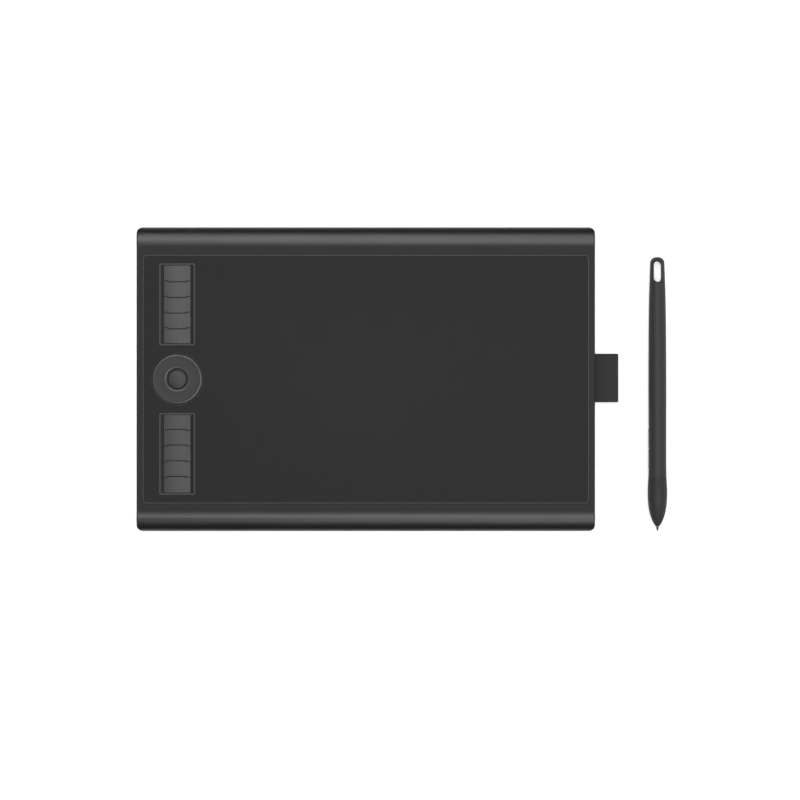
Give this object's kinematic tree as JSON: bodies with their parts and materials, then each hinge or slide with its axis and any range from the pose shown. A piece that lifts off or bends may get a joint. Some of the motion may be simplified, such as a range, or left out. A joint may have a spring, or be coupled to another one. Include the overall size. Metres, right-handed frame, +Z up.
{
  "type": "graphics tablet",
  "caption": "Flat drawing tablet with rolled edges, a matte surface, push keys, a touch ring with a centre button, an elastic pen loop, and its pen beside it.",
  "frame": {"origin": "on the desk, under the middle of the tablet and its pen taken together", "axes": "+X to the right across the tablet, +Y away from the user, +Z up"},
  "size_m": [0.4168, 0.239, 0.0153],
  "materials": {
    "shell": "satin black moulded shell",
    "surface": "fine matte, dark grey",
    "ring": "satin black, brighter rims",
    "button": "satin black",
    "key_cap": "satin black",
    "switch_stem": "moulded red",
    "switch_body": "moulded black",
    "circuit_board": "green solder mask",
    "chip": "moulded black",
    "film": "amber film",
    "steel_sheet": "bare sheet",
    "socket_steel": "bright drawn shell",
    "screw_steel": "dark zinc",
    "elastic": "woven elastic, black",
    "foot_rubber": "matte",
    "pen_shell": "satin black",
    "pen_grip": "soft matte black",
    "pen_tray": "natural moulded plastic",
    "ferrite": "sintered dark grey",
    "winding": "lacquered copper wire",
    "nib": "hard black plastic",
    "side_button": "satin black"
  },
  "bodies": {
    "tablet": {"top_housing": "shell", "bottom_housing": "shell", "drawing_surface": "surface", "touch_ring": "ring", "ring_sensor": "film", "sensor_board": "circuit_board", "shield_plate": "steel_sheet", "key_board": "circuit_board", "key_switches": "switch_body", "main_board": "circuit_board", "board_chips": "chip", "usb_socket": "socket_steel", "key_ribbon": "film", "sensor_ribbon": "film", "case_screws": "screw_steel", "board_screws": "screw_steel", "loop_anchor_bar": "steel_sheet", "pen_loop": "elastic", "foot_front_left": "foot_rubber", "foot_front_right": "foot_rubber", "foot_rear_left": "foot_rubber", "foot_rear_right": "foot_rubber"},
    "key_1": {"express_key_1": "key_cap", "key_stem_1": "switch_stem"},
    "key_2": {"express_key_2": "key_cap", "key_stem_2": "switch_stem"},
    "key_3": {"express_key_3": "key_cap", "key_stem_3": "switch_stem"},
    "key_4": {"express_key_4": "key_cap", "key_stem_4": "switch_stem"},
    "key_5": {"express_key_5": "key_cap", "key_stem_5": "switch_stem"},
    "key_6": {"express_key_6": "key_cap", "key_stem_6": "switch_stem"},
    "key_7": {"express_key_7": "key_cap", "key_stem_7": "switch_stem"},
    "key_8": {"express_key_8": "key_cap", "key_stem_8": "switch_stem"},
    "key_9": {"express_key_9": "key_cap", "key_stem_9": "switch_stem"},
    "key_10": {"express_key_10": "key_cap", "key_stem_10": "switch_stem"},
    "ring_button": {"centre_button": "button", "centre_stem": "switch_stem"},
    "pen": {"pen_barrel": "pen_shell", "pen_grip": "pen_grip", "pen_chassis": "pen_tray", "pen_board": "circuit_board", "pen_switches": "switch_body", "pen_coil_core": "ferrite", "pen_coil": "winding", "pressure_sensor": "chip"},
    "nib": {"pen_nib": "nib", "nib_holder": "pen_tray"},
    "side_button_front": {"pen_button_front": "side_button", "pen_stem_front": "switch_stem"},
    "side_button_rear": {"pen_button_rear": "side_button", "pen_stem_rear": "switch_stem"}
  },
  "joints": [
    {"name": "press_key_1", "type": "slide", "parent": "tablet", "child": "key_1", "axis": [0, 0, -1], "range_m": [0, 0.0005], "stiffness_N_per_m": 2000, "springref_m": -0.0002},
    {"name": "press_key_2", "type": "slide", "parent": "tablet", "child": "key_2", "axis": [0, 0, -1], "range_m": [0, 0.0005], "stiffness_N_per_m": 2000, "springref_m": -0.0002},
    {"name": "press_key_3", "type": "slide", "parent": "tablet", "child": "key_3", "axis": [0, 0, -1], "range_m": [0, 0.0005], "stiffness_N_per_m": 2000, "springref_m": -0.0002},
    {"name": "press_key_4", "type": "slide", "parent": "tablet", "child": "key_4", "axis": [0, 0, -1], "range_m": [0, 0.0005], "stiffness_N_per_m": 2000, "springref_m": -0.0002},
    {"name": "press_key_5", "type": "slide", "parent": "tablet", "child": "key_5", "axis": [0, 0, -1], "range_m": [0, 0.0005], "stiffness_N_per_m": 2000, "springref_m": -0.0002},
    {"name": "press_key_6", "type": "slide", "parent": "tablet", "child": "key_6", "axis": [0, 0, -1], "range_m": [0, 0.0005], "stiffness_N_per_m": 2000, "springref_m": -0.0002},
    {"name": "press_key_7", "type": "slide", "parent": "tablet", "child": "key_7", "axis": [0, 0, -1], "range_m": [0, 0.0005], "stiffness_N_per_m": 2000, "springref_m": -0.0002},
    {"name": "press_key_8", "type": "slide", "parent": "tablet", "child": "key_8", "axis": [0, 0, -1], "range_m": [0, 0.0005], "stiffness_N_per_m": 2000, "springref_m": -0.0002},
    {"name": "press_key_9", "type": "slide", "parent": "tablet", "child": "key_9", "axis": [0, 0, -1], "range_m": [0, 0.0005], "stiffness_N_per_m": 2000, "springref_m": -0.0002},
    {"name": "press_key_10", "type": "slide", "parent": "tablet", "child": "key_10", "axis": [0, 0, -1], "range_m": [0, 0.0005], "stiffness_N_per_m": 2000, "springref_m": -0.0002},
    {"name": "press_ring_button", "type": "slide", "parent": "tablet", "child": "ring_button", "axis": [0, 0, -1], "range_m": [0, 0.0005], "stiffness_N_per_m": 2000, "springref_m": -0.0002},
    {"name": "lift_pen", "type": "slide", "parent": "tablet", "child": "pen", "axis": [0, 0, 1], "range_m": [0, 0.12]},
    {"name": "press_nib", "type": "slide", "parent": "pen", "child": "nib", "axis": [0, 1, -0.0063], "range_m": [0, 0.0004], "stiffness_N_per_m": 2000, "springref_m": -0.0002},
    {"name": "press_side_button_front", "type": "slide", "parent": "pen", "child": "side_button_front", "axis": [1, 0, 0], "range_m": [0, 0.0003], "stiffness_N_per_m": 2000, "springref_m": -0.0002},
    {"name": "press_side_button_rear", "type": "slide", "parent": "pen", "child": "side_button_rear", "axis": [1, 0, 0], "range_m": [0, 0.0003], "stiffness_N_per_m": 2000, "springref_m": -0.0002}
  ]
}
